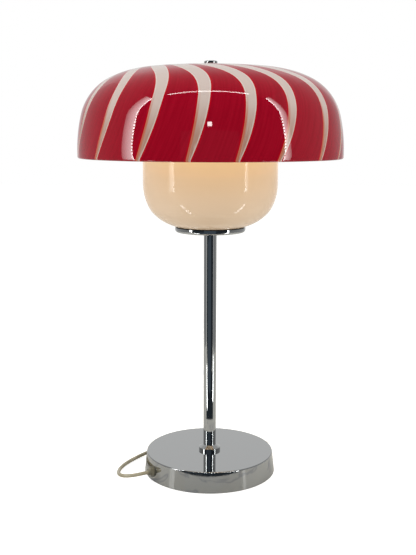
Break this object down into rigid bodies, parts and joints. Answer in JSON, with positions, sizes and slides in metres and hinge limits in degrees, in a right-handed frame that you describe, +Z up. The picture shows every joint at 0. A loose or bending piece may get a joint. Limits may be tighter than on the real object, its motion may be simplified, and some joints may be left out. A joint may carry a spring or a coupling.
{
  "type": "mushroom table lamp",
  "caption": "Table lamp with a wide domed glass shade over a glass diffuser, on a slim stem and a low drum base.",
  "frame": {"origin": "where the lamp's axis meets the table, in the plane of the base pad", "axes": "+Z up along the stem, -Y towards the front, +X to the lamp's right as seen from the front"},
  "size_m": [0.32, 0.32, 0.511],
  "materials": {
    "chrome": "polished chrome plate",
    "cast_iron": "raw casting",
    "felt": "black felt",
    "zinc_steel": "zinc plated",
    "clear_vinyl": "translucent amber vinyl",
    "black_rubber": "moulded",
    "opal_glass": "blown opal glass, satin outside",
    "silicone": "moulded silicone",
    "phenolic": "moulded phenolic",
    "brass": "drawn brass",
    "nickel": "nickel plated",
    "bulb_glass": "frosted, lit",
    "lead_vinyl": "insulated leads",
    "striped_glass": "blown cased glass, red with pale stripes, glossy",
    "tie_vinyl": "flat tie",
    "switch_plastic": "moulded amber plastic"
  },
  "bodies": {
    "lamp": {"base_cover": "chrome", "base_weight": "cast_iron", "base_pad": "felt", "base_washer": "zinc_steel", "base_nut": "zinc_steel", "cord_bushing": "clear_vinyl", "inner_cord": "clear_vinyl", "stem_tube": "chrome", "stem_ring": "chrome", "threaded_rod": "zinc_steel", "diffuser_plate": "chrome", "diffuser_gasket": "black_rubber", "diffuser_glass": "opal_glass", "clamp_gasket": "silicone", "clamp_plate": "zinc_steel", "clamp_nut": "zinc_steel", "lamp_bracket": "zinc_steel", "bracket_nut": "zinc_steel", "lampholder_right": "phenolic", "lampholder_left": "phenolic", "lampholder_shell_right": "brass", "lampholder_shell_left": "brass", "holder_screws": "zinc_steel", "holder_leads": "lead_vinyl", "seat_ring": "silicone", "seat_plate": "zinc_steel", "seat_nut": "zinc_steel", "cord_lead": "clear_vinyl", "cord_link": "clear_vinyl", "cord_hank": "clear_vinyl", "cord_tail": "clear_vinyl", "hank_tie": "tie_vinyl", "switch_bottom": "switch_plastic", "switch_top": "switch_plastic", "plug_body": "switch_plastic", "plug_blades": "brass"},
    "shade": {"shade_glass": "striped_glass", "finial_washer": "silicone"},
    "finial": {"finial_knob": "chrome"},
    "bulb_right": {"bulb_cap_right": "nickel", "bulb_glass_right": "bulb_glass"},
    "bulb_left": {"bulb_cap_left": "nickel", "bulb_glass_left": "bulb_glass"},
    "rocker": {"switch_rocker": "switch_plastic"}
  },
  "joints": [
    {"name": "shade_lift", "type": "slide", "parent": "lamp", "child": "shade", "axis": [0, 0, 1], "range_m": [0, 0.13]},
    {"name": "finial_turn", "type": "hinge", "parent": "shade", "child": "finial", "pos_m": [0, 0, 0.508], "axis": [0, 0, 1], "continuous": true},
    {"name": "bulb_right_turn", "type": "hinge", "parent": "lamp", "child": "bulb_right", "pos_m": [0.03263, -0.01521, 0.36], "axis": [0, 0, 1], "continuous": true},
    {"name": "bulb_left_turn", "type": "hinge", "parent": "lamp", "child": "bulb_left", "pos_m": [-0.03263, 0.01521, 0.36], "axis": [0, 0, 1], "continuous": true},
    {"name": "rocker_tilt", "type": "hinge", "parent": "lamp", "child": "rocker", "pos_m": [-0.0675, 0.073, 0.00485], "axis": [-0.866, 0.5, 0], "range_deg": [-9, 9]}
  ]
}
